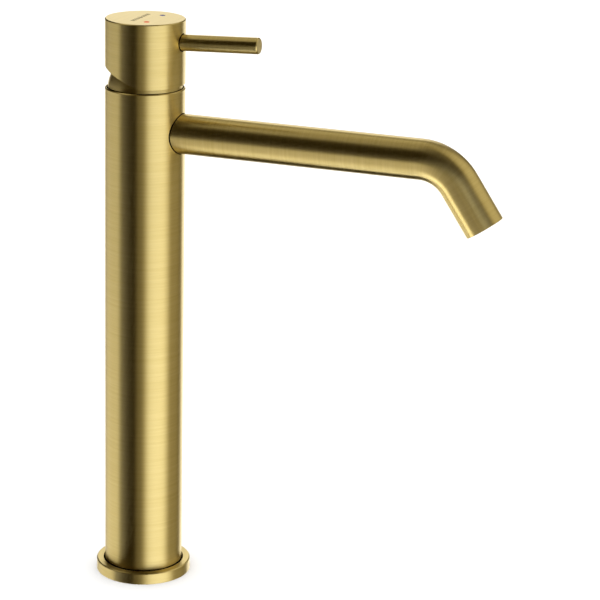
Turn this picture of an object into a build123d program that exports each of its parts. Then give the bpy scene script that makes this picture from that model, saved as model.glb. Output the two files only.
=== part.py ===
"""Tall single-lever basin mixer for a vessel bowl.

Millimetres, +Z up, origin at the centre of the base on the deck. The spout and the lever point
towards -Y, the user. Hot water is on the -X side and cold water on the +X side.
"""
from build123d import *
import math
import os

os.makedirs("parts", exist_ok=True)

# ---- driving dimensions ----------------------------------------------------------------------
BODY_R = 22.0  # column and handle cap share this radius
COLUMN_TOP = 283.5
COLUMN_BORE_R = 19.5
SLIP = 0.05  # radial clearance of pieces that slip together and are fixed
FLANGE_R = 26.8
FLANGE_H = 6.6
SEAT_Z = 1.2  # ledge of the flange that the column stands on

SPOUT_Z = 259.3  # height of the level part of the spout
SPOUT_R = 11.0
SPOUT_BORE_R = 9.8
SPOUT_CORNER_Y = -172.2  # where the level axis and the outlet axis would cross
SPOUT_DROP = 56.0  # degrees that the outlet leg turns down
SPOUT_BEND_R = 26.0
SPOUT_LEG = 40.6  # from that crossing to the outlet

TUBE_XY = (7.0, 4.0)  # supply tubes, mirrored in X
TUBE_R = 4.0
TUBE_BORE_R = 3.0
HOSE_THREAD_R = 4.46  # M10x1, minor radius
HOSE_THREAD_DEEP = 12.0
STUD_THREAD_R = 3.4  # M8, minor radius
STUD_THREAD_DEEP = 14.0
STUD_Y = -9.5

PIVOT_Z = 290.0  # the lever tilts about a pin at this height
PORT_XY = (5.0, 2.5)  # hot and cold ports of the cartridge, mirrored in X
PORT_R = 2.0
MIX_PORT_Y = -5.0
MIX_PORT_R = 2.4

CAP_LOW = 286.0
CAP_TOP = 321.4
CAP_CUT_ANGLE = 21.5  # degrees that the back of the cap's rim rises, to clear the tilt
CAP_CUT_Y = -5.5  # where that rise begins
CAP_CAVITY_R = 20.8
CAP_CEILING = 302.8
LEVER_Z = 308.7  # height of the lever's axis at the middle of the cap
LEVER_RISE = 2.6  # degrees that the lever rises towards its tip
LEVER_R = 4.5
LEVER_TIP = 66.2  # from the middle of the cap, along the lever

# ---- derived heights -------------------------------------------------------------------------
INSERT_LOW = SEAT_Z + 0.4
INSERT_TOP = 20.0
TUBE_LOW = INSERT_LOW + HOSE_THREAD_DEEP + 1.0
TUBE_TOP = 244.0
BLOCK_LOW = 236.0
LIP_LOW = COLUMN_TOP - 5.0  # the column's inner lip, which the block is pulled up against
LIP_TOP = COLUMN_TOP - 2.0
CUP_FLOOR = 270.0  # floor of the cartridge cup
CUP_R = 12.55
CUP_TOP = 284.2
NECK_R = 17.2
NECK_TOP = 290.0
DISC_Z = CUP_FLOOR + 3.5  # underside of the fixed ceramic disc
DISC_T = 2.5
GLIDE = 0.02  # film between the ceramic discs
CARRIER_Z = DISC_Z + 2 * DISC_T
CARRIER_TOP = CARRIER_Z + 3.5
DISC_SHIFT = 1.76  # the moving disc rests this far behind the middle
ROOF_Z = 283.1  # inside of the cartridge housing's roof
HOUSING_TOP = 284.5
HOUSING_NECK_TOP = 294.0
FINGER_Z = 280.6  # centre of the stem's ball end
STEM_X = 7.0
STEM_Y = 6.0
STEM_TOP = 312.0


def rod(radius, low, high, x=0.0, y=0.0):
    """Upright cylinder between two heights."""
    return Pos(x, y, (low + high) / 2) * Cylinder(radius, high - low)


def ring(outer, inner, low, high, x=0.0, y=0.0):
    """Upright tube between two heights."""
    return rod(outer, low, high, x, y) - rod(inner, low - 1, high + 1, x, y)


def bar(x_size, y_low, y_high, low, high, x=0.0):
    """Upright block, centred on x."""
    middle = Pos(x, (y_low + y_high) / 2, (low + high) / 2)
    return middle * Box(x_size, y_high - y_low, high - low)


def level_rod(radius, front, back, z=SPOUT_Z):
    """Cylinder along Y between two places."""
    return Pos(0, (front + back) / 2, z) * Rot(90, 0, 0) * Cylinder(radius, back - front)


def o_ring(middle_r, section_r):
    """Rubber ring lying flat at the origin."""
    return Torus(middle_r, section_r)


def top_edges(shape, radius, z):
    """The circular edges of one radius at one height."""
    circles = shape.edges().filter_by(GeomType.CIRCLE)
    return circles.filter_by(lambda e: abs(e.radius - radius) < 0.01 and abs(e.center().Z - z) < 0.01)


# ---- base ------------------------------------------------------------------------------------
GROOVE_IN, GROOVE_OUT, GROOVE_DEEP = 23.3, 25.5, 1.6


def base_flange():
    """Round foot plate: a ledge carries the column, a groove below holds the deck seal."""
    plate = ring(FLANGE_R, BODY_R - 3.4, 0, FLANGE_H)
    plate -= rod(BODY_R + 0.4, SEAT_Z, FLANGE_H + 1)
    plate -= rod(BODY_R + 0.9, SEAT_Z + 1.2, FLANGE_H + 1)
    plate -= ring(GROOVE_OUT, GROOVE_IN, -1, GROOVE_DEEP)
    return chamfer(top_edges(plate, FLANGE_R, FLANGE_H), 0.5)


def deck_seal():
    """Flat rubber ring, flush with the underside of the flange."""
    return ring(GROOVE_OUT - 0.1, GROOVE_IN + 0.1, 0, GROOVE_DEEP)


def base_insert():
    """Brass plug in the foot of the column, with two hose sockets and the stud socket."""
    plug = rod(COLUMN_BORE_R - SLIP, INSERT_LOW, INSERT_TOP)
    for side in (-1, 1):
        x, y = side * TUBE_XY[0], TUBE_XY[1]
        plug -= rod(HOSE_THREAD_R, INSERT_LOW - 1, INSERT_LOW + HOSE_THREAD_DEEP, x, y)
        plug -= rod(TUBE_BORE_R, INSERT_LOW, INSERT_TOP, x, y)
        plug -= rod(TUBE_R + SLIP, TUBE_LOW, INSERT_TOP + 1, x, y)
    plug -= rod(STUD_THREAD_R, INSERT_LOW - 1, INSERT_LOW + STUD_THREAD_DEEP, 0, STUD_Y)
    return plug


# ---- column ----------------------------------------------------------------------------------
def column():
    """Turned and brushed outer tube, with an inner lip near the top and the spout's hole."""
    tube = ring(BODY_R, COLUMN_BORE_R, SEAT_Z, LIP_LOW)
    tube += ring(BODY_R, NECK_R + 0.1, LIP_LOW, LIP_TOP)
    tube += ring(BODY_R, BODY_R - 0.8, LIP_TOP, COLUMN_TOP)
    tube = chamfer(top_edges(tube, BODY_R, COLUMN_TOP), 0.5)
    tube = chamfer(top_edges(tube, BODY_R, SEAT_Z), 0.5)
    return tube - level_rod(SPOUT_R + 0.4, -BODY_R - 5, -5)


# ---- waterway --------------------------------------------------------------------------------
SOCKET_FRONT = -16.0
SOCKET_R = 8.75
SOCKET_BACK = -8.0
CHAMBER_R = 6.5
CHAMBER_BACK = -2.0
SEAL_GROOVE_R, SEAL_GROOVE_LOW, SEAL_GROOVE_HIGH = 5.3, 239.0, 241.4
KEY_X, KEY_Y, KEY_R = 9.5, -5.5, 1.2  # locating pins under the cartridge


def supply_tube(side):
    """Copper tube from the base to the waterway, -1 for hot and 1 for cold."""
    return ring(TUBE_R, TUBE_BORE_R, TUBE_LOW, TUBE_TOP, side * TUBE_XY[0], TUBE_XY[1])


def tube_orings():
    """One rubber ring around the top of each supply tube."""
    middle = (SEAL_GROOVE_LOW + SEAL_GROOVE_HIGH) / 2
    return [Pos(side * TUBE_XY[0], TUBE_XY[1], middle) * o_ring(4.65, 0.61) for side in (-1, 1)]


def waterway_block():
    """Brass block in the head of the column: supplies go up to the cartridge, and mixed water
    comes down from it and out to the spout."""
    block = rod(COLUMN_BORE_R - 0.1, BLOCK_LOW, LIP_LOW) + rod(NECK_R, LIP_LOW, NECK_TOP)
    block -= rod(CUP_R, CUP_FLOOR, NECK_TOP + 1)
    block -= rod(14.0, CUP_TOP, NECK_TOP + 1)
    for side in (-1, 1):
        x, y = side * TUBE_XY[0], TUBE_XY[1]
        block -= rod(TUBE_R + SLIP, BLOCK_LOW - 1, TUBE_TOP + 2, x, y)
        block -= rod(SEAL_GROOVE_R, SEAL_GROOVE_LOW, SEAL_GROOVE_HIGH, x, y)
        block -= rod(2.2, TUBE_TOP + 1, CUP_FLOOR + 1, side * PORT_XY[0], PORT_XY[1])
        block -= rod(KEY_R + 0.1, CUP_FLOOR - 2.2, CUP_FLOOR + 1, side * KEY_X, KEY_Y)
    block -= rod(MIX_PORT_R, SPOUT_Z, CUP_FLOOR + 1, 0, MIX_PORT_Y)
    block -= level_rod(CHAMBER_R, -BODY_R, CHAMBER_BACK)
    block -= level_rod(SOCKET_R, -BODY_R, SOCKET_BACK)
    return block - level_rod(SPOUT_R + 0.1, -BODY_R, SOCKET_FRONT)


# ---- spout -----------------------------------------------------------------------------------
NIPPLE_FRONT = -26.0
NIPPLE_BORE_R = 6.5
NIPPLE_GROOVE = (-12.2, -9.8, 7.4)  # front, back and radius


def spout_end(back):
    """Place on the outlet leg's axis, this far back from the outlet, facing out of it."""
    drop = math.radians(SPOUT_DROP)
    reach = SPOUT_LEG - back
    y = SPOUT_CORNER_Y - reach * math.cos(drop)
    z = SPOUT_Z - reach * math.sin(drop)
    return Plane(origin=(0, y, z), x_dir=(1, 0, 0), z_dir=(0, -math.cos(drop), -math.sin(drop)))


def outlet_ring(outer, inner, shallow, deep):
    """Ring on the outlet leg's axis, between two distances back from the outlet."""
    length = deep - shallow
    piece = Cylinder(outer, length) - Cylinder(inner, length + 2) if inner else Cylinder(outer, length)
    return spout_end((shallow + deep) / 2) * piece


def spout_tube():
    """Bent brass tube, cut square at the outlet."""
    tip = spout_end(0).origin
    start = Vector(0, SOCKET_FRONT - 0.1, SPOUT_Z)
    axis = FilletPolyline(start, (0, SPOUT_CORNER_Y, SPOUT_Z), tip, radius=SPOUT_BEND_R)
    section = Plane(origin=start, z_dir=(0, -1, 0))
    outside = sweep(section * Circle(SPOUT_R), path=axis)
    inside = sweep(section * Circle(SPOUT_BORE_R), path=axis)
    tube = outside - inside
    rim = tube.edges().filter_by(GeomType.CIRCLE).sort_by_distance(tip)[0:2]
    return chamfer(rim, 0.25)


def spout_nipple():
    """Stepped brass nipple: soldered into the spout, and plugged into the waterway."""
    front, back, groove_r = NIPPLE_GROOVE
    nipple = level_rod(SPOUT_BORE_R - 0.1, NIPPLE_FRONT, SOCKET_FRONT - 0.1)
    nipple += level_rod(SOCKET_R - SLIP, SOCKET_FRONT - 0.1, SOCKET_BACK - 0.1)
    nipple -= level_rod(SOCKET_R + 1, front, back) - level_rod(groove_r, front - 1, back + 1)
    return nipple - level_rod(NIPPLE_BORE_R, NIPPLE_FRONT - 1, SOCKET_BACK + 1)


def spout_oring():
    """Rubber ring in the nipple's groove."""
    middle = (NIPPLE_GROOVE[0] + NIPPLE_GROOVE[1]) / 2
    return Pos(0, middle, SPOUT_Z) * Rot(90, 0, 0) * o_ring(8.07, 0.61)


# ---- aerator ---------------------------------------------------------------------------------
def outlet_bushing():
    """Threaded brass bushing soldered into the outlet, with a shoulder for the aerator."""
    return outlet_ring(9.75, 8.6, 1.0, 10.0) + outlet_ring(9.75, 7.4, 10.0, 16.0)


def aerator_housing():
    """Plastic cup that screws into the bushing, with four slots for its key."""
    cup = outlet_ring(8.5, 7.2, 1.4, 9.0)
    for turn in range(4):
        slot = Rot(0, 0, 45 + 90 * turn) * Pos(8.2, 0, 0) * Box(1.6, 1.8, 2.0)
        cup -= spout_end(1.4) * slot
    return cup


def aerator_screen():
    """Honeycomb disc that the water leaves through."""
    cell, wall = 1.5, 0.35
    pitch = cell + wall
    disc = Cylinder(7.15, 1.6)
    holes = []
    for row in range(-4, 5):
        for column_no in range(-4, 5):
            x = (column_no + row / 2) * pitch
            y = row * pitch * math.sqrt(3) / 2
            if math.hypot(x, y) + cell / math.sqrt(3) < 6.7:
                hexagon = extrude(RegularPolygon(cell / 2, 6, major_radius=False), 2.0, both=True)
                holes.append(Pos(x, y, 0) * hexagon)
    return spout_end(2.6) * (disc - holes)


def flow_regulator():
    """Plastic disc with a ring of metering holes, behind the screen."""
    disc = Cylinder(7.15, 1.6)
    holes = [place * Cylinder(0.7, 3) for place in PolarLocations(4.2, 8)]
    return spout_end(5.0) * (disc - holes)


def aerator_seal():
    """Flat rubber washer between the aerator and the bushing's shoulder."""
    return outlet_ring(8.4, 6.6, 9.0, 10.0)


# ---- cartridge -------------------------------------------------------------------------------
def ports():
    """The places and radii of the cartridge's three ports."""
    x, y = PORT_XY
    return [(-x, y, PORT_R), (x, y, PORT_R), (0.0, MIX_PORT_Y, MIX_PORT_R)]


def port_seals():
    """Three rubber rings under the cartridge, one around each port."""
    return [ring(3.8, 2.6, CUP_FLOOR + SLIP, CUP_FLOOR + 1.2, x, y) for x, y, r in ports()]


def cartridge_base():
    """Plastic base of the cartridge, with its ports, seal pockets and two locating pins."""
    base = rod(CUP_R - 0.15, CUP_FLOOR + SLIP, DISC_Z)
    for side in (-1, 1):
        base += rod(KEY_R, CUP_FLOOR - 2, DISC_Z - 1, side * KEY_X, KEY_Y)
    for x, y, radius in ports():
        base -= rod(radius, CUP_FLOOR - 1, DISC_Z + 1, x, y)
        base -= rod(3.9, CUP_FLOOR - 1, CUP_FLOOR + 1.2, x, y)
    return base


def fixed_disc():
    """Lower ceramic disc with the three ports."""
    disc = rod(11.0, DISC_Z, DISC_Z + DISC_T)
    for x, y, radius in ports():
        disc -= rod(radius, DISC_Z - 1, DISC_Z + DISC_T + 1, x, y)
    return disc


def moving_disc():
    """Upper ceramic disc: a T-shaped pocket below joins the ports as it slides and turns."""
    low = DISC_Z + DISC_T + GLIDE
    disc = rod(9.1, low, CARRIER_Z, 0, DISC_SHIFT)
    disc -= bar(12.0, DISC_SHIFT + 3.1, DISC_SHIFT + 6.0, low - 1, low + 1.6)
    return disc - bar(4.8, DISC_SHIFT - 6.0, DISC_SHIFT + 4.0, low - 1, low + 1.6)


def disc_carrier():
    """Plastic slide on the moving disc, with a socket for the stem and two guide channels."""
    slide = rod(9.1, CARRIER_Z, CARRIER_TOP, 0, DISC_SHIFT)
    for side in (-1, 1):
        slide -= bar(2.2, -12, 14, CARRIER_TOP - 1.1, CARRIER_TOP + 1, side * 7.0)
    slide -= rod(1.85, CARRIER_Z - 1, CARRIER_TOP + 1)
    return slide - Pos(0, 0, CARRIER_TOP) * Cone(1.85, 2.85, 1.0)


def cartridge_housing():
    """Plastic shell of the cartridge, stepped in to a neck that guides the turret."""
    shell = ring(CUP_R - SLIP, 11.2, DISC_Z, ROOF_Z)
    shell += ring(CUP_R - SLIP, 8.7, ROOF_Z, HOUSING_TOP)
    return shell + ring(10.4, 8.7, HOUSING_TOP, HOUSING_NECK_TOP)


def cartridge_nut():
    """Brass ring nut that clamps the cartridge into its cup."""
    nut = ring(13.95, 10.6, HOUSING_TOP, NECK_TOP + 0.1)
    head = extrude(Pos(0, 0, NECK_TOP + 0.1) * RegularPolygon(12.5, 6, major_radius=False), 3.3)
    return nut + (head - rod(10.6, NECK_TOP - 1, NECK_TOP + 5))


# ---- turret and stem -------------------------------------------------------------------------
TURRET_R = 8.6
TURRET_TOP = 295.0
TURRET_FLANGE_LOW = 282.1
PIN_R = 1.25


def pin_bore(radius, half_length):
    """Cylinder on the tilt axis."""
    return Pos(0, 0, PIVOT_Z) * Rot(0, 90, 0) * Cylinder(radius, 2 * half_length)


def stem_turret():
    """Plastic turret that turns with the lever and carries the stem's pin."""
    turret = rod(TURRET_R, TURRET_FLANGE_LOW, TURRET_TOP)
    turret += rod(10.9, TURRET_FLANGE_LOW, ROOF_Z - 0.1)
    for side in (-1, 1):
        turret += bar(2.0, -6, 6, TURRET_FLANGE_LOW - 1.1, TURRET_FLANGE_LOW, side * 7.0)
    turret -= bar(STEM_X + 0.1, -5.3, 5.6, TURRET_FLANGE_LOW - 1, TURRET_TOP + 1)
    turret -= pin_bore(PIN_R + 0.01, TURRET_R + 1)
    return turret - ring(TURRET_R + 1, 7.6, 291.5, 293.1)


def turret_oring():
    """Rubber ring that keeps water out of the handle."""
    return Pos(0, 0, 292.3) * o_ring(8.15, 0.5)


def stem_pin():
    """Steel pin that the stem tilts on."""
    return pin_bore(PIN_R, TURRET_R - 0.3)


def stem():
    """Steel stem: a square blade in the handle, the tilt pin's hole and a ball end below."""
    blade = bar(STEM_X, -STEM_Y / 2, STEM_Y / 2, PIVOT_Z - 6, STEM_TOP)
    blade = chamfer(blade.edges().group_by(Axis.Z)[-1], 0.6)
    blade += rod(1.3, FINGER_Z, PIVOT_Z - 5)
    blade += Pos(0, 0, FINGER_Z) * Sphere(1.7)
    return blade - pin_bore(PIN_R + SLIP, STEM_X)


# ---- dome ring and handle --------------------------------------------------------------------
DOME_R = 20.6
DOME_CENTRE_Z = 282.0
DOME_TOP = 296.0


def dome_ring():
    """Ball-shaped ring nut that pulls the waterway up into the column and covers the cartridge."""
    outside = Pos(0, 0, DOME_CENTRE_Z) * Sphere(DOME_R)
    inside = Pos(0, 0, DOME_CENTRE_Z) * Sphere(DOME_R - 1.4)
    shell = outside & rod(BODY_R, LIP_TOP, DOME_TOP)
    shell -= inside & rod(BODY_R, NECK_TOP + 0.3, DOME_TOP - 1.2)
    shell -= rod(NECK_R + SLIP, LIP_TOP - 1, NECK_TOP + 0.31)
    return shell - rod(11.0, DOME_TOP - 5, DOME_TOP + 1)


def along_lever(piece):
    """Put a piece modelled along +Z onto the lever's rising axis."""
    lever_axis = Plane(
        origin=(0, 0, LEVER_Z),
        x_dir=(1, 0, 0),
        z_dir=(0, -math.cos(math.radians(LEVER_RISE)), math.sin(math.radians(LEVER_RISE))),
    )
    return lever_axis * piece


MARK_X, MARK_Y, MARK_R, MARK_DEEP = 10.9, -5.4, 1.4, 0.6
LEVER_SHOULDER = 15.5  # where the lever bottoms in the cap, from the middle


def cap_emblem():
    """Small water drop between two rows of short bars, sunk into the top of the cap."""
    drop = Circle(1.05) + Polygon((-0.93, 0.47), (0.93, 0.47), (0, 2.4), align=None)
    bars = [Pos(side * (3.1 + 2.5 * n), 0.3) * Rectangle(1.2, 2.4) for side in (-1, 1) for n in range(4)]
    outline = Pos(0, 2.6, CAP_TOP) * (drop + bars)
    return extrude(outline, 0.15, both=True)


def handle_cap():
    """Turned handle cap: hollow below, with the stem's socket, the lever's bore and its marks."""
    cap = rod(BODY_R, CAP_LOW, CAP_TOP)
    cap = chamfer(top_edges(cap, BODY_R, CAP_TOP), 0.5)
    cap -= rod(CAP_CAVITY_R, CAP_LOW - 1, CAP_CEILING)
    wedge = Pos(0, 50, -50) * Box(100, 100, 100)
    cap -= Pos(0, CAP_CUT_Y, CAP_LOW) * Rot(CAP_CUT_ANGLE, 0, 0) * wedge
    cap -= bar(STEM_X + 0.1, -STEM_Y / 2 - SLIP, STEM_Y / 2 + SLIP, CAP_CEILING - 1, STEM_TOP + 0.3)
    cap -= along_lever(rod(LEVER_R + 0.5, LEVER_SHOULDER, BODY_R + 5))
    cap -= along_lever(rod(2.55, 0, BODY_R))
    for side in (-1, 1):
        cap -= rod(MARK_R + SLIP, CAP_TOP - MARK_DEEP, CAP_TOP + 1, side * MARK_X, MARK_Y)
    return cap - cap_emblem()


def colour_mark(side):
    """Enamel dot on the cap, -1 for hot and 1 for cold."""
    return rod(MARK_R, CAP_TOP - MARK_DEEP, CAP_TOP + 0.02, side * MARK_X, MARK_Y)


def lever_rod():
    """Solid round lever, screwed into the cap by the thinner thread at its root."""
    lever = rod(LEVER_R, LEVER_SHOULDER + 0.1, LEVER_TIP)
    lever = chamfer(top_edges(lever, LEVER_R, LEVER_TIP), 0.4)
    return along_lever(lever + rod(2.5, 8.6, LEVER_SHOULDER + 1))


def grub_screw():
    """Hexagon-socket screw under the lever's root, which clamps the stem."""
    screw = rod(2.5, STEM_Y / 2 + 0.2, 8.4)
    key = extrude(Pos(0, 0, 5.9) * RegularPolygon(1.25, 6, major_radius=False), 4.0)
    return along_lever(screw - key)


PIECES = {
    "base_flange": base_flange(),
    "deck_seal": deck_seal(),
    "base_insert": base_insert(),
    "column": column(),
    "supply_tube_hot": supply_tube(-1),
    "supply_tube_cold": supply_tube(1),
    "tube_orings": tube_orings(),
    "waterway_block": waterway_block(),
    "spout_tube": spout_tube(),
    "spout_nipple": spout_nipple(),
    "spout_oring": spout_oring(),
    "outlet_bushing": outlet_bushing(),
    "aerator_housing": aerator_housing(),
    "aerator_screen": aerator_screen(),
    "flow_regulator": flow_regulator(),
    "aerator_seal": aerator_seal(),
    "port_seals": port_seals(),
    "cartridge_base": cartridge_base(),
    "fixed_disc": fixed_disc(),
    "moving_disc": moving_disc(),
    "disc_carrier": disc_carrier(),
    "cartridge_housing": cartridge_housing(),
    "cartridge_nut": cartridge_nut(),
    "stem_turret": stem_turret(),
    "turret_oring": turret_oring(),
    "stem_pin": stem_pin(),
    "stem": stem(),
    "dome_ring": dome_ring(),
    "handle_cap": handle_cap(),
    "lever_rod": lever_rod(),
    "grub_screw": grub_screw(),
    "hot_mark": colour_mark(-1),
    "cold_mark": colour_mark(1),
}

for name, piece in PIECES.items():
    solids = piece if isinstance(piece, list) else [piece]
    export_step(Compound(children=solids), f"parts/{name}.step")
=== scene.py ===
import math

import bpy
from mathutils import Euler, Matrix, Vector


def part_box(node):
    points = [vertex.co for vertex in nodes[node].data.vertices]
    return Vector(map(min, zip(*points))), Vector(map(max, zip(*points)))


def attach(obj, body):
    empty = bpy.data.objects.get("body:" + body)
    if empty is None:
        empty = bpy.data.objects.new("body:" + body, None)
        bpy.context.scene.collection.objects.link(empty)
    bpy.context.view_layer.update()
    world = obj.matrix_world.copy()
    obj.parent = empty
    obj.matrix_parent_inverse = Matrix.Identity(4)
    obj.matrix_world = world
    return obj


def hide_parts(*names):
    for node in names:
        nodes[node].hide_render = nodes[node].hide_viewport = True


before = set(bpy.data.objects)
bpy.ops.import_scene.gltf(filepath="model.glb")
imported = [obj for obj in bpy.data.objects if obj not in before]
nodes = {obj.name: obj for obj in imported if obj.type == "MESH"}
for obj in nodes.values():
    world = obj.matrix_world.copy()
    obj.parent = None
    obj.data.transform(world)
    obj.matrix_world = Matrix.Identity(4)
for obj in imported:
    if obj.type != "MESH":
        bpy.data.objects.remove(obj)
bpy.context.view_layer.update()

MM = 0.001

# ---- Camera ----------------------------------------------------------------------------------
# A long lens looks a little down at the mixer from its hot side. The spout points right and
# slightly towards the viewer.
camera_data = bpy.data.cameras.new("studio_camera")
camera_data.sensor_width = 36.0
camera_data.lens = 144.8
camera = bpy.data.objects.new("studio_camera", camera_data)
bpy.context.scene.collection.objects.link(camera)
camera_place = Vector((-1.1896, -0.5126, 0.5625))
heading = Matrix.Rotation(math.radians(-70.55), 4, "Z")
tilt = Matrix.Rotation(math.radians(72.85), 4, "X")
roll = Matrix.Rotation(math.radians(1.36), 4, "Z")
camera.matrix_world = Matrix.Translation(camera_place) @ heading @ tilt @ roll
bpy.context.scene.camera = camera

# ---- Floor and light -------------------------------------------------------------------------
# A wide pale table top in a white room. Soft boxes with dark gaps between them stand around the
# mixer to draw bands on brushed metal. Only reflections see the boxes: the camera and the floor
# see the plain white room.
bpy.ops.object.select_all(action="DESELECT")
bpy.ops.mesh.primitive_plane_add(size=30)
floor = bpy.context.active_object
floor.name = "pale_floor"
floor.visible_glossy = False
floor_paint = bpy.data.materials.new("pale_floor_paint")
floor_paint.use_nodes = True
floor_shader = floor_paint.node_tree.nodes["Principled BSDF"]
floor_shader.inputs["Base Color"].default_value = (0.92, 0.92, 0.92, 1)
floor_shader.inputs["Roughness"].default_value = 0.9
floor.data.materials.append(floor_paint)

room = bpy.data.worlds.new("white_room")
bpy.context.scene.world = room
room.use_nodes = True
room.cycles.sampling_method = "NONE"
room_nodes, room_links = room.node_tree.nodes, room.node_tree.links
room_nodes.clear()


def room_math(operation, first, second=0.0):
    """One sum on the room's light, from sockets or numbers."""
    node = room_nodes.new("ShaderNodeMath")
    node.operation = operation
    for slot_number, value in enumerate((first, second)):
        if isinstance(value, (int, float)):
            node.inputs[slot_number].default_value = value
        else:
            room_links.new(value, node.inputs[slot_number])
    return node.outputs[0]


def fade(value, start, stop):
    """Smooth step of a socket from 0 at start to 1 at stop."""
    node = room_nodes.new("ShaderNodeMapRange")
    node.interpolation_type = "SMOOTHSTEP"
    room_links.new(value, node.inputs["Value"])
    node.inputs["From Min"].default_value = start
    node.inputs["From Max"].default_value = stop
    return node.outputs["Result"]


direction = room_nodes.new("ShaderNodeTexCoord").outputs["Generated"]
split = room_nodes.new("ShaderNodeSeparateXYZ")
room_links.new(direction, split.inputs[0])
flat_length = room_math("SQRT", room_math(
    "ADD", room_math("MULTIPLY", split.outputs[0], split.outputs[0]),
    room_math("MULTIPLY", split.outputs[1], split.outputs[1])))
east = room_math("DIVIDE", split.outputs[0], flat_length)
north = room_math("DIVIDE", split.outputs[1], flat_length)


def soft_box(azimuth, half_width, feather, low, high, edge, strength):
    """One soft box: where it stands, in degrees from -X towards -Y, how wide it is, and from
    which height to which, as the sine of the angle above the horizon."""
    angle = math.radians(azimuth)
    along = room_math("ADD", room_math("MULTIPLY", east, -math.cos(angle)),
                      room_math("MULTIPLY", north, -math.sin(angle)))
    near = math.cos(math.radians(max(half_width - feather, 0)))
    far = math.cos(math.radians(min(half_width + feather, 180)))
    across = fade(along, far, near)
    bottom = fade(split.outputs[2], low - edge, low + edge)
    top = fade(split.outputs[2], high + edge, high - edge)
    return room_math("MULTIPLY", room_math("MULTIPLY", across, strength),
                     room_math("MULTIPLY", bottom, top))


boxes = [
    soft_box(60, 23, 24, -0.75, -0.01, 0.08, 1.75),  # bright key on the user's side
    soft_box(115, 26, 14, -0.60, -0.12, 0.06, 0.33),  # wide fill beyond the spout
    soft_box(118, 36, 22, 0.02, 0.95, 0.18, 0.66),  # its upper part, which the spout sees
    soft_box(195, 33, 7, -0.60, -0.05, 0.13, 1.6),  # bright wall behind
    soft_box(199, 10, 8, 0.10, 0.58, 0.08, 1.45),  # its upper part, which the cap's top sees
    soft_box(282, 29, 6, -1.5, -0.67, 0.06, 2.0),  # low box behind the hot side
    soft_box(270, 34, 6, -0.67, -0.20, 0.09, 1.2),  # its upper part
    soft_box(251, 60, 6, 0.75, 0.92, 0.13, 1.0),  # long box overhead
    soft_box(10, 8, 5, -0.41, -0.05, 0.07, 0.45),  # faint card beside the camera
]
glow = 0.02
for box_light in boxes:
    glow = room_math("ADD", box_light, glow)
warmth = room_nodes.new("ShaderNodeCombineColor")
warmth.inputs["Red"].default_value = 1.0
share = room_math("MINIMUM", room_math("DIVIDE", glow, 1.8), 1.0)
room_links.new(room_math("POWER", share, 0.09), warmth.inputs["Green"])
room_links.new(room_math("POWER", share, 0.38), warmth.inputs["Blue"])
studio = room_nodes.new("ShaderNodeBackground")
room_links.new(glow, studio.inputs["Strength"])
room_links.new(warmth.outputs[0], studio.inputs["Color"])
white = room_nodes.new("ShaderNodeBackground")
white.inputs["Strength"].default_value = 1.8
ray = room_nodes.new("ShaderNodeLightPath")
mix = room_nodes.new("ShaderNodeMixShader")
room_links.new(ray.outputs["Is Glossy Ray"], mix.inputs["Fac"])
room_links.new(white.outputs[0], mix.inputs[1])
room_links.new(studio.outputs[0], mix.inputs[2])
room_out = room_nodes.new("ShaderNodeOutputWorld")
room_links.new(mix.outputs[0], room_out.inputs["Surface"])
bpy.context.scene.view_settings.view_transform = "Standard"

# Light thrown up by the table. Light linking keeps it to the spout, so the column stays dark.
glow_panel = bpy.data.lights.new("table_glow", "AREA")
glow_panel.shape = "RECTANGLE"
glow_panel.size, glow_panel.size_y = 1.5, 0.8
glow_panel.energy = 1.65
glow_panel.color = (1.0, 0.93, 0.78)
table_glow = bpy.data.objects.new("table_glow", glow_panel)
table_glow.location = (-0.83, 0.05, 0.01)
table_glow.rotation_euler = (math.pi, 0, 0)
table_glow.visible_camera = False
bpy.context.scene.collection.objects.link(table_glow)
lit_from_below = bpy.data.collections.new("lit_from_below")
table_glow.light_linking.receiver_collection = lit_from_below


# ---- Column ----------------------------------------------------------------------------------
# A thick brass tube, turned true, brushed round and round and coated gold. An inner lip near its
# top holds the waterway, and a round hole in front lets the spout out.
def turned(name, rings, closed=True, around=256):
    """A part turned on a lathe: a circle is pulled from ring to ring, each (radius, height) in mm.
    A closed one joins its last ring to its first, and an open one gets a face at each end."""
    bpy.ops.object.select_all(action="DESELECT")
    radius, height = rings[0]
    bpy.ops.mesh.primitive_circle_add(
        vertices=around, radius=radius * MM, location=(0, 0, height * MM))
    piece = bpy.context.active_object
    piece.name = name
    bpy.ops.object.transform_apply()
    bpy.ops.object.mode_set(mode="EDIT")
    bpy.ops.mesh.select_all(action="SELECT")
    if not closed:
        bpy.ops.mesh.edge_face_add()
    for wide, high in rings[1:] + (rings[:1] if closed else []):
        bpy.ops.mesh.extrude_region_move(TRANSFORM_OT_translate={"value": (0, 0, (high - height) * MM)})
        bpy.ops.transform.resize(
            value=(wide / radius, wide / radius, 1), center_override=(0, 0, high * MM))
        radius, height = wide, high
    bpy.ops.mesh.select_all(action="SELECT")
    bpy.ops.mesh.remove_doubles(threshold=0.002 * MM)
    bpy.ops.mesh.normals_make_consistent(inside=False)
    bpy.ops.object.mode_set(mode="OBJECT")
    return piece


def apply_modifier(piece, modifier):
    """Applies one modifier to a piece."""
    bpy.ops.object.select_all(action="DESELECT")
    piece.select_set(True)
    bpy.context.view_layer.objects.active = piece
    bpy.ops.object.modifier_apply(modifier=modifier.name)


def cut(piece, cutter):
    """Cuts one solid out of another and throws the cutter away."""
    modifier = piece.modifiers.new("cut", "BOOLEAN")
    modifier.operation = "DIFFERENCE"
    modifier.solver = "EXACT"
    modifier.object = cutter
    apply_modifier(piece, modifier)
    bpy.data.objects.remove(cutter)


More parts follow.
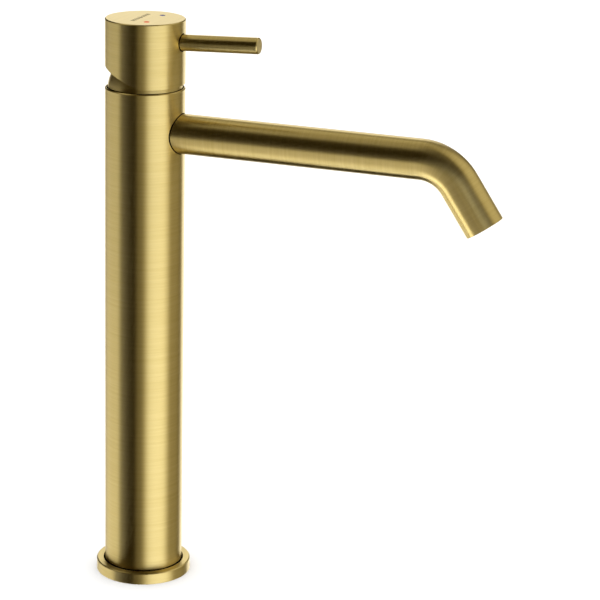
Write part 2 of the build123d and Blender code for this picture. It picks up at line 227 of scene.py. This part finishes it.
def broken_edges(piece, width, merge=0.03):
    """Rounds every sharp edge a little, as polishing leaves it, and evens the shading."""
    bpy.context.view_layer.objects.active = piece
    bpy.ops.object.mode_set(mode="EDIT")
    bpy.ops.mesh.select_all(action="SELECT")
    bpy.ops.mesh.remove_doubles(threshold=merge * MM)
    bpy.ops.object.mode_set(mode="OBJECT")
    bevel = piece.modifiers.new("edges", "BEVEL")
    bevel.width = width * MM
    bevel.segments = 3
    bevel.limit_method = "ANGLE"
    bevel.angle_limit = math.radians(35)
    apply_modifier(piece, bevel)
    piece.data.polygons.foreach_set("use_smooth", [True] * len(piece.data.polygons))
    apply_modifier(piece, piece.modifiers.new("even_shading", "WEIGHTED_NORMAL"))


def brush_round(piece, straight_top=False):
    """Maps a turned part so that U runs round it, the way its brush lines do, in metres."""
    mesh = piece.data
    layer = mesh.uv_layers.new(name="brush")
    girth = max(math.hypot(v.co.x, v.co.y) for v in mesh.vertices)
    for face in mesh.polygons:
        middle = math.atan2(face.center.y, -face.center.x)
        flat = straight_top and face.normal.z > 0.9
        for loop in face.loop_indices:
            x, y, z = mesh.vertices[mesh.loops[loop].vertex_index].co
            if flat:
                layer.data[loop].uv = (x, y)
                continue
            angle = math.atan2(y, -x) if x or y else middle
            angle += 2 * math.pi * round((middle - angle) / (2 * math.pi))
            layer.data[loop].uv = (angle * girth, z - math.hypot(x, y))


def mixed(tree, blend, factor, first, second):
    """A colour mix in a material, from sockets or colours."""
    node = tree.nodes.new("ShaderNodeMix")
    node.data_type = "RGBA"
    node.blend_type = blend
    for socket, value in (("Factor_Float", factor), ("A_Color", first), ("B_Color", second)):
        target = next(s for s in node.inputs if s.identifier == socket)
        if isinstance(value, bpy.types.NodeSocket):
            tree.links.new(value, target)
        else:
            target.default_value = value
    return next(s for s in node.outputs if s.identifier == "Result_Color")


def noise(tree, coordinates, scale, detail=2.0):
    """Noise on coordinates that are first stretched by scale along their three axes."""
    stretch = tree.nodes.new("ShaderNodeMapping")
    stretch.inputs["Scale"].default_value = scale
    tree.links.new(coordinates, stretch.inputs["Vector"])
    pattern = tree.nodes.new("ShaderNodeTexNoise")
    pattern.inputs["Scale"].default_value = 1.0
    pattern.inputs["Detail"].default_value = detail
    tree.links.new(stretch.outputs[0], pattern.inputs["Vector"])
    return pattern.outputs["Fac"]


def ranged(tree, value, low, high, start=0.25, stop=0.75):
    """A number from low to high, as a noise goes from start to stop."""
    node = tree.nodes.new("ShaderNodeMapRange")
    tree.links.new(value, node.inputs["Value"])
    node.inputs["From Min"].default_value = start
    node.inputs["From Max"].default_value = stop
    node.inputs["To Min"].default_value = low
    node.inputs["To Max"].default_value = high
    return node.outputs["Result"]


def brushed_gold():
    """Gold-coated brass with fine brush lines along U: long faint streaks and short hair lines
    change its colour, its roughness and, very slightly, its height."""
    finish = bpy.data.materials.new("brushed_gold")
    finish.use_nodes = True
    tree = finish.node_tree
    shader = tree.nodes["Principled BSDF"]
    place = tree.nodes.new("ShaderNodeUVMap")
    place.uv_map = "brush"
    hair = noise(tree, place.outputs[0], (60, 2800, 1), 3)
    streak = noise(tree, place.outputs[0], (22, 700, 1), 2)
    cloud = noise(tree, place.outputs[0], (14, 9, 1), 1)
    pale, deep = (0.83, 0.68, 0.30, 1), (0.76, 0.61, 0.25, 1)
    scratched, clean = (0.9, 0.9, 0.9, 1), (1, 1, 1, 1)
    tone = mixed(tree, "MIX", ranged(tree, streak, 0, 1), deep, pale)
    shade = mixed(tree, "MIX", ranged(tree, hair, 0, 1), scratched, clean)
    tree.links.new(mixed(tree, "MULTIPLY", 1.0, tone, shade), shader.inputs["Base Color"])
    shader.inputs["Metallic"].default_value = 1.0
    rough = tree.nodes.new("ShaderNodeMath")
    rough.operation = "ADD"
    tree.links.new(ranged(tree, hair, 0.33, 0.39), rough.inputs[0])
    tree.links.new(ranged(tree, cloud, -0.02, 0.02), rough.inputs[1])
    tree.links.new(rough.outputs[0], shader.inputs["Roughness"])
    shader.inputs["Anisotropic"].default_value = 0.8
    shader.inputs["Anisotropic Rotation"].default_value = 0.25
    grain = tree.nodes.new("ShaderNodeTangent")
    grain.direction_type = "UV_MAP"
    grain.uv_map = "brush"
    tree.links.new(grain.outputs[0], shader.inputs["Tangent"])
    bump = tree.nodes.new("ShaderNodeBump")
    bump.inputs["Strength"].default_value = 0.35
    bump.inputs["Distance"].default_value = 0.01 * MM
    tree.links.new(hair, bump.inputs["Height"])
    tree.links.new(bump.outputs[0], shader.inputs["Normal"])
    return finish


gold = brushed_gold()


def painted_gap_shade():
    """Painted shade for the inner faces of narrow gaps and bores: near-black coated brass in uneven
    patches, standing for the shade that falls in them.
    """
    finish = bpy.data.materials.new("painted_gap_shade")
    finish.use_nodes = True
    tree = finish.node_tree
    shader = tree.nodes["Principled BSDF"]
    place = tree.nodes.new("ShaderNodeTexCoord").outputs["Object"]
    patches = noise(tree, place, (500, 500, 500), 3)
    deepest_shade, paler_shade = (0.035, 0.026, 0.012, 1), (0.075, 0.057, 0.026, 1)
    tone = mixed(tree, "MIX", ranged(tree, patches, 0, 1), deepest_shade, paler_shade)
    tree.links.new(tone, shader.inputs["Base Color"])
    tree.links.new(ranged(tree, patches, 0.55, 0.75), shader.inputs["Roughness"])
    return finish


painted_shade_brass = painted_gap_shade()


def with_painted_joint_shade(name, measured, edge):
    """The gold again, with a painted shade line where the piece enters its neighbour, for the shade that
    falls in the joint. The line covers all that is nearer than edge, in mm, measured along the axes given."""
    finish = gold.copy()
    finish.name = name
    tree = finish.node_tree
    shader = tree.nodes["Principled BSDF"]
    kept = tree.nodes.new("ShaderNodeVectorMath")
    kept.operation = "MULTIPLY"
    tree.links.new(tree.nodes.new("ShaderNodeTexCoord").outputs["Object"], kept.inputs[0])
    kept.inputs[1].default_value = measured
    reach = tree.nodes.new("ShaderNodeVectorMath")
    reach.operation = "LENGTH"
    tree.links.new(kept.outputs["Vector"], reach.inputs[0])
    line = ranged(tree, reach.outputs["Value"], 1, 0, (edge - 0.08) * MM, (edge + 0.08) * MM)
    coat = shader.inputs["Base Color"].links[0].from_socket
    tree.links.new(mixed(tree, "MIX", line, coat, (0.03, 0.022, 0.01, 1)), shader.inputs["Base Color"])
    return finish



def paint_gap_shade(piece, inside_gap):
    """Paints shade on a piece's faces wherever inside_gap(x, y, z) says so, in mm: they get the near-black
    painted gap shade material.
    """
    piece.data.materials.append(painted_shade_brass)
    for face in piece.data.polygons:
        if inside_gap(*(face.center / MM)):
            face.material_index = len(piece.data.materials) - 1


def finished(piece, material, node, body):
    """Gives a piece its material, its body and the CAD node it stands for."""
    piece.data.materials.clear()
    piece.data.materials.append(material)
    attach(piece, body)
    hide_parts(node)


def heights(node):
    """The lowest and highest point of a CAD node, in mm."""
    low_corner, high_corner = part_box(node)
    return low_corner.z / MM, high_corner.z / MM


body_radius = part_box("column")[1].x / MM
column_foot, column_top = heights("column")
spout_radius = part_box("spout_tube")[1].x / MM
spout_height = heights("spout_tube")[1] - spout_radius
tube_bore, lip_bore = 19.5, 17.3
column = turned("column_tube", [
    (tube_bore, column_foot), (body_radius - 0.5, column_foot), (body_radius, column_foot + 0.5),
    (body_radius, column_top - 0.5), (body_radius - 0.5, column_top), (body_radius - 0.8, column_top),
    (body_radius - 0.8, column_top - 2),
    (lip_bore, column_top - 2), (lip_bore, column_top - 5), (tube_bore, column_top - 5),
])
bpy.ops.mesh.primitive_cylinder_add(
    vertices=128, radius=(spout_radius + 0.4) * MM, depth=20 * MM,
    location=(0, -22 * MM, spout_height * MM), rotation=(math.radians(90), 0, 0))
cut(column, bpy.context.active_object)
broken_edges(column, 0.08)
brush_round(column)
plate_top = heights("base_flange")[1]
# Painted shade: the column's gold is darkened in a thin line at its foot, just above the plate, for the
# shade in that joint.
column_gold = with_painted_joint_shade("gold_column", (0, 0, 1), plate_top + 0.25)
finished(column, column_gold, "column", "faucet_body")
# Painted shade: the tube's inner faces and the wall of the spout hole get the near-black painted gap
# shade.
paint_gap_shade(column, lambda x, y, z: math.hypot(x, y) < body_radius - 0.72
       or (y < -10 and math.hypot(x, z - spout_height) < spout_radius + 0.45))

# ---- Foot plate and its seal -----------------------------------------------------------------
# The turned foot plate takes the column on an inner ledge, in a narrow gap whose faces carry painted
# shade. A black rubber ring in a groove below seals it to the deck.
plate_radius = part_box("base_flange")[1].x / MM
plate = turned("foot_plate", [
    (18.6, 0), (23.3, 0), (23.3, 1.6), (25.5, 1.6), (25.5, 0), (plate_radius, 0),
    (plate_radius, plate_top - 0.5), (plate_radius - 0.5, plate_top), (body_radius + 0.9, plate_top),
    (body_radius + 0.9, column_foot + 1.2), (body_radius + 0.4, column_foot + 1.2),
    (body_radius + 0.4, column_foot), (18.6, column_foot),
])
broken_edges(plate, 0.1)
brush_round(plate)
finished(plate, gold, "base_flange", "faucet_body")
# Painted shade: the faces of the gap round the column's foot get the near-black painted gap shade.
paint_gap_shade(plate, lambda x, y, z: column_foot - 0.2 < z < plate_top - 0.15
       and math.hypot(x, y) < body_radius + 0.93)


def moulded(name, colour, roughness, grain=0.3, mottling=0.15):
    """Moulded rubber or plastic: a faint mottled colour and a fine matt skin."""
    finish = bpy.data.materials.new(name)
    finish.use_nodes = True
    tree = finish.node_tree
    shader = tree.nodes["Principled BSDF"]
    place = tree.nodes.new("ShaderNodeTexCoord").outputs["Object"]
    cloud = noise(tree, place, (300, 300, 300), 3)
    skin = noise(tree, place, (4000, 4000, 4000), 2)
    dark = tuple(c * (1 - mottling) for c in colour)
    mottled = mixed(tree, "MIX", ranged(tree, cloud, 0, 1), (*dark, 1), (*colour, 1))
    tree.links.new(mottled, shader.inputs["Base Color"])
    tree.links.new(ranged(tree, skin, roughness - 0.06, roughness + 0.06), shader.inputs["Roughness"])
    bump = tree.nodes.new("ShaderNodeBump")
    bump.inputs["Strength"].default_value = grain
    bump.inputs["Distance"].default_value = 0.02 * MM
    tree.links.new(skin, bump.inputs["Height"])
    tree.links.new(bump.outputs[0], shader.inputs["Normal"])
    return finish


black_rubber = moulded("black_rubber", (0.022, 0.022, 0.024), 0.62)
seal = turned("deck_seal_ring", [(23.4, 0), (25.4, 0), (25.4, 1.6), (23.4, 1.6)])
broken_edges(seal, 0.2)
finished(seal, black_rubber, "deck_seal", "faucet_body")

# ---- Spout -----------------------------------------------------------------------------------
# One brass tube, drawn level out of the column, bent down near its end and cut square. It is
# brushed round its section along the whole length.
spout_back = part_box("spout_tube")[1].y / MM
corner_y, drop, bend_radius, leg, wall = -172.2, math.radians(56), 26.0, 40.6, 1.2
tangent = bend_radius * math.tan(drop / 2)
bend_start = corner_y + tangent
bpy.ops.object.select_all(action="DESELECT")
bpy.ops.mesh.primitive_circle_add(
    vertices=160, radius=spout_radius * MM, location=(0, spout_back * MM, spout_height * MM),
    rotation=(math.radians(90), 0, 0))
spout = bpy.context.active_object
spout.name = "spout_pipe"
bpy.ops.object.transform_apply()
bpy.ops.object.mode_set(mode="EDIT")
bpy.ops.mesh.select_all(action="SELECT")
level_steps = 12
for _ in range(level_steps):
    bpy.ops.mesh.extrude_region_move(
        TRANSFORM_OT_translate={"value": (0, (bend_start - spout_back) / level_steps * MM, 0)})
bend_centre = Vector((0, bend_start, spout_height - bend_radius)) * MM
bpy.ops.mesh.spin(steps=40, angle=drop, center=bend_centre, axis=(-1, 0, 0))
down = Vector((0, -math.cos(drop), -math.sin(drop)))
for _ in range(4):
    bpy.ops.mesh.extrude_region_move(TRANSFORM_OT_translate={"value": down * (leg - tangent) / 4 * MM})
bpy.ops.mesh.select_all(action="SELECT")
bpy.ops.mesh.remove_doubles(threshold=0.002 * MM)
bpy.ops.mesh.normals_make_consistent(inside=False)
bpy.ops.object.mode_set(mode="OBJECT")
thickness = spout.modifiers.new("wall", "SOLIDIFY")
thickness.thickness = wall * MM
thickness.offset = -1
apply_modifier(spout, thickness)
broken_edges(spout, 0.25)


def along_spout(point):
    """How far along the spout's axis a point is, and its angle round that axis."""
    x, y, z = point / MM
    if y > bend_start:
        return spout_back - y, math.atan2(x, z - spout_height)
    turn = math.atan2(bend_start - y, z - spout_height + bend_radius)
    if turn < drop:
        out = math.hypot(bend_start - y, z - spout_height + bend_radius) - bend_radius
        return spout_back - bend_start + bend_radius * turn, math.atan2(x, out)
    offset = Vector((y - bend_start, z - spout_height + bend_radius))
    forward = -offset.x * math.cos(drop) - offset.y * math.sin(drop)
    out = -offset.x * math.sin(drop) + offset.y * math.cos(drop) - bend_radius
    return spout_back - bend_start + bend_radius * drop + forward, math.atan2(x, out)


brush = spout.data.uv_layers.new(name="brush")
for face in spout.data.polygons:
    middle = along_spout(face.center)[1]
    for loop in face.loop_indices:
        length, angle = along_spout(spout.data.vertices[spout.data.loops[loop].vertex_index].co)
        angle += 2 * math.pi * round((middle - angle) / (2 * math.pi))
        brush.data[loop].uv = (angle * spout_radius * MM, length * MM)
# Painted shade: the spout is darkened in a thin line where it leaves the column, for the shade in that
# joint.
spout_gold = with_painted_joint_shade("gold_spout", (1, 1, 0), body_radius + 0.35)
finished(spout, spout_gold, "spout_tube", "faucet_body")
lit_from_below.objects.link(spout)

# ---- Collar under the handle -----------------------------------------------------------------
# A ball-shaped ring nut screws onto the waterway and pulls it up into the column. Its brushed
# top shows where the handle's rim is cut away.
ball, ball_centre, nut_bore = 20.6, 282.0, 17.25
collar_low, collar_top = heights("dome_ring")


def ball_ring(radius, height):
    """A ring on a ball about the collar's centre."""
    return math.sqrt(radius ** 2 - (height - ball_centre) ** 2), height


steps = 24
outside = [ball_ring(ball, collar_low + (collar_top - collar_low) * n / steps) for n in range(steps + 1)]
inner_top, nut_top = collar_top - 1.2, 290.3
inside = [ball_ring(ball - 1.4, inner_top + (nut_top - inner_top) * n / steps) for n in range(steps + 1)]
collar = turned("ball_collar", outside + [(11.0, collar_top), (11.0, inner_top)] + inside
                + [(nut_bore, nut_top), (nut_bore, collar_low)])
broken_edges(collar, 0.2)
brush_round(collar)
# Painted shade: the collar is darkened in a thin line where it comes out of the column's top.
collar_gold = with_painted_joint_shade("gold_collar", (0, 0, 1), column_top + 0.2)
finished(collar, collar_gold, "dome_ring", "faucet_body")

# ---- Handle cap ------------------------------------------------------------------------------
# A turned brass cap, hollow below. The back of its rim is cut away so that it can tilt, and its
# side is bored for the lever. A small drop and dashes on top are sunk and filled with dark paint.
cap_low, cap_top = heights("handle_cap")
cavity, ceiling, cut_y, cut_angle = 20.8, 302.8, -5.5, math.radians(21.5)
cap = turned("handle_cap_shell", [
    (cavity, ceiling), (cavity, cap_low), (body_radius, cap_low),
    (body_radius, cap_top - 0.5), (body_radius - 0.5, cap_top),
], closed=False)
bpy.ops.object.mode_set(mode="EDIT")
bpy.ops.mesh.select_all(action="SELECT")
bpy.ops.mesh.bisect(
    plane_co=(0, cut_y * MM, cap_low * MM), plane_no=(0, math.sin(cut_angle), -math.cos(cut_angle)),
    clear_outer=True, use_fill=True)
bpy.ops.object.mode_set(mode="OBJECT")
lever_height, lever_rise, lever_radius, lever_shoulder = 308.7, math.radians(2.6), 4.5, 15.5


def along_lever(piece):
    """Turns a piece modelled upright onto the lever's axis, which rises a little to its tip."""
    piece.rotation_euler = Euler((math.radians(90) - lever_rise, 0, 0))
    piece.location = (0, 0, lever_height * MM)
    bpy.ops.object.select_all(action="DESELECT")
    piece.select_set(True)
    bpy.context.view_layer.objects.active = piece
    bpy.ops.object.transform_apply()
    return piece


gap = lever_radius + 0.5
cut(cap, along_lever(turned(
    "lever_bore", [(2.55, 0.5), (2.55, lever_shoulder), (gap, lever_shoulder), (gap, 30)],
    closed=False, around=128)))
mark_radius, mark_x, mark_y, mark_depth = 1.55, 10.9, -5.4, 0.6
for side in (-1, 1):
    pocket_radius = mark_radius + 0.05
    pocket = turned("pocket", [(pocket_radius, cap_top - mark_depth), (pocket_radius, cap_top + 1)],
                    closed=False, around=64)
    pocket.location = (side * mark_x * MM, mark_y * MM, 0)
    cut(cap, pocket)
sunk, emblem_y = 0.15, 2.6
dash_size, first_dash, dash_pitch = (1.2, 2.4), 3.1, 2.5
bpy.ops.mesh.primitive_circle_add(vertices=64, radius=1, fill_type="NGON")
drop_shape = bpy.context.active_object
for v in drop_shape.data.vertices:
    t = math.atan2(v.co.x, -v.co.y)
    v.co = (1.35 * MM * math.sin(t) * math.cos(t / 2) ** 1.5, (0.68 - 1.72 * math.cos(t)) * MM, 0)
shapes = [drop_shape]
for side in (-1, 1):
    for n in range(4):
        dash_x = side * (first_dash + dash_pitch * n)
        bpy.ops.mesh.primitive_plane_add(size=1, location=(dash_x * MM, 0.3 * MM, 0))
        bpy.context.active_object.scale = (dash_size[0] * MM, dash_size[1] * MM, 1)
        shapes.append(bpy.context.active_object)
for shape in shapes:
    bpy.ops.object.select_all(action="DESELECT")
    shape.select_set(True)
    bpy.context.view_layer.objects.active = shape
    bpy.ops.object.transform_apply()
    bpy.ops.object.mode_set(mode="EDIT")
    bpy.ops.mesh.select_all(action="SELECT")
    bpy.ops.mesh.extrude_region_move(TRANSFORM_OT_translate={"value": (0, 0, 1 * MM)})
    bpy.ops.mesh.select_all(action="SELECT")
    bpy.ops.mesh.normals_make_consistent(inside=False)
    bpy.ops.object.mode_set(mode="OBJECT")
    shape.location = (0, emblem_y * MM, (cap_top - sunk) * MM)
    cut(cap, shape)
broken_edges(cap, 0.08, merge=0.02)
brush_round(cap, straight_top=True)
finished(cap, gold, "handle_cap", "handle")
# Painted shade: the faces of the lever's clearance bore in the cap get the near-black painted gap shade.
paint_gap_shade(cap, lambda x, y, z: y < -14 and z < cap_top - 2 and math.hypot(x, y) < body_radius - 0.12
       and math.hypot(x, z - lever_height + y * math.tan(lever_rise)) < gap + 0.3)
dark_paint = moulded("dark_paint", (0.035, 0.03, 0.025), 0.5)
cap.data.materials.append(dark_paint)
for face in cap.data.polygons:
    x, y, z = face.center / MM
    on_emblem = abs(x) < 12 and abs(y - emblem_y) < 3.5
    if on_emblem and cap_top - sunk - 0.02 < z < cap_top - 0.06:
        face.material_index = 1

# ---- Lever -----------------------------------------------------------------------------------
# A plain solid rod, brushed round, with a flat bevelled end. Its thinner root screws into the cap, in a
# clearance bore whose faces carry painted shade.
lever_tip = 66.2
lever = turned("lever_bar", [
    (2.5, 8.6), (2.5, lever_shoulder + 0.1), (lever_radius, lever_shoulder + 0.1),
    (lever_radius, lever_tip - 0.4), (lever_radius - 0.4, lever_tip),
], closed=False, around=128)
broken_edges(lever, 0.12)
brush_round(lever)
along_lever(lever)
# Painted shade: the rod is darkened in a thin line where it enters the cap.
lever_gold = with_painted_joint_shade("gold_lever", (1, 1, 0), body_radius + 0.35)
finished(lever, lever_gold, "lever_rod", "handle")

# ---- Hot and cold dots -----------------------------------------------------------------------
# Small pockets in the cap filled with matt enamel, red on the hot side and blue on the cold.
# The enamel stands a hair proud, with a rounded edge.
for side, node, slot, colour in (
    (-1, "hot_mark", "red_enamel", (0.60, 0.001, 0.006)),
    (1, "cold_mark", "blue_enamel", (0.001, 0.02, 0.20)),
):
    dot = turned(node + "_enamel", [
        (mark_radius, cap_top - mark_depth), (mark_radius, cap_top - 0.05), (mark_radius - 0.15, cap_top),
        (mark_radius - 0.5, cap_top + 0.03),
    ], closed=False, around=64)
    broken_edges(dot, 0.04)
    dot.location = (side * mark_x * MM, mark_y * MM, 0)
    bpy.ops.object.select_all(action="DESELECT")
    dot.select_set(True)
    bpy.ops.object.transform_apply()
    enamel = moulded(slot, colour, 0.3, 0.05)
    enamel.node_tree.nodes["Principled BSDF"].inputs["Specular IOR Level"].default_value = 0.0
    finished(dot, enamel, node, "handle")

# ---- Inner parts -----------------------------------------------------------------------------
# The inserts, tubes, seals, cartridge and aerator show as the CAD has them, in the outlet, under
# the foot and in the gap below the handle. Each gets the finish of what it is made of.
def machined(name, colour, roughness, lines, metallic=1.0):
    """Bare machined, drawn or lapped stock. Lines stretches its tool marks along the part's axes."""
    finish = bpy.data.materials.new(name)
    finish.use_nodes = True
    tree = finish.node_tree
    shader = tree.nodes["Principled BSDF"]
    place = tree.nodes.new("ShaderNodeTexCoord").outputs["Object"]
    marks = noise(tree, place, lines, 3)
    stain = noise(tree, place, (90, 90, 60), 3)
    worn = tuple(c * 0.86 for c in colour)
    stained = mixed(tree, "MIX", ranged(tree, stain, 0, 1), (*worn, 1), (*colour, 1))
    tree.links.new(stained, shader.inputs["Base Color"])
    tree.links.new(ranged(tree, marks, roughness - 0.07, roughness + 0.07), shader.inputs["Roughness"])
    shader.inputs["Metallic"].default_value = metallic
    bump = tree.nodes.new("ShaderNodeBump")
    bump.inputs["Strength"].default_value = 0.3
    bump.inputs["Distance"].default_value = 0.01 * MM
    tree.links.new(marks, bump.inputs["Height"])
    tree.links.new(bump.outputs[0], shader.inputs["Normal"])
    return finish


turned_marks, drawn_marks, even_marks = (60, 60, 5000), (3000, 3000, 25), (2500, 2500, 2500)
for material, names in (
    (machined("raw_brass", (0.72, 0.56, 0.28), 0.3, turned_marks),
     ("base_insert", "waterway_block", "spout_nipple", "outlet_bushing", "cartridge_nut")),
    (machined("drawn_copper", (0.80, 0.44, 0.31), 0.28, drawn_marks),
     ("supply_tube_hot", "supply_tube_cold")),
    (machined("turned_steel", (0.60, 0.60, 0.61), 0.26, turned_marks), ("stem_pin", "stem", "grub_screw")),
    (machined("lapped_ceramic", (0.90, 0.89, 0.85), 0.2, even_marks, 0.0), ("fixed_disc", "moving_disc")),
    (black_rubber, ("tube_orings", "spout_oring", "aerator_seal", "port_seals", "turret_oring")),
    (moulded("white_acetal", (0.80, 0.80, 0.77), 0.45), ("cartridge_base", "cartridge_housing")),
    (moulded("blue_acetal", (0.10, 0.19, 0.40), 0.42), ("stem_turret", "disc_carrier")),
    (moulded("grey_acetal", (0.56, 0.58, 0.58), 0.4),
     ("aerator_housing", "aerator_screen", "flow_regulator")),
):
    for name in names:
        nodes[name].data.materials.clear()
        nodes[name].data.materials.append(material)
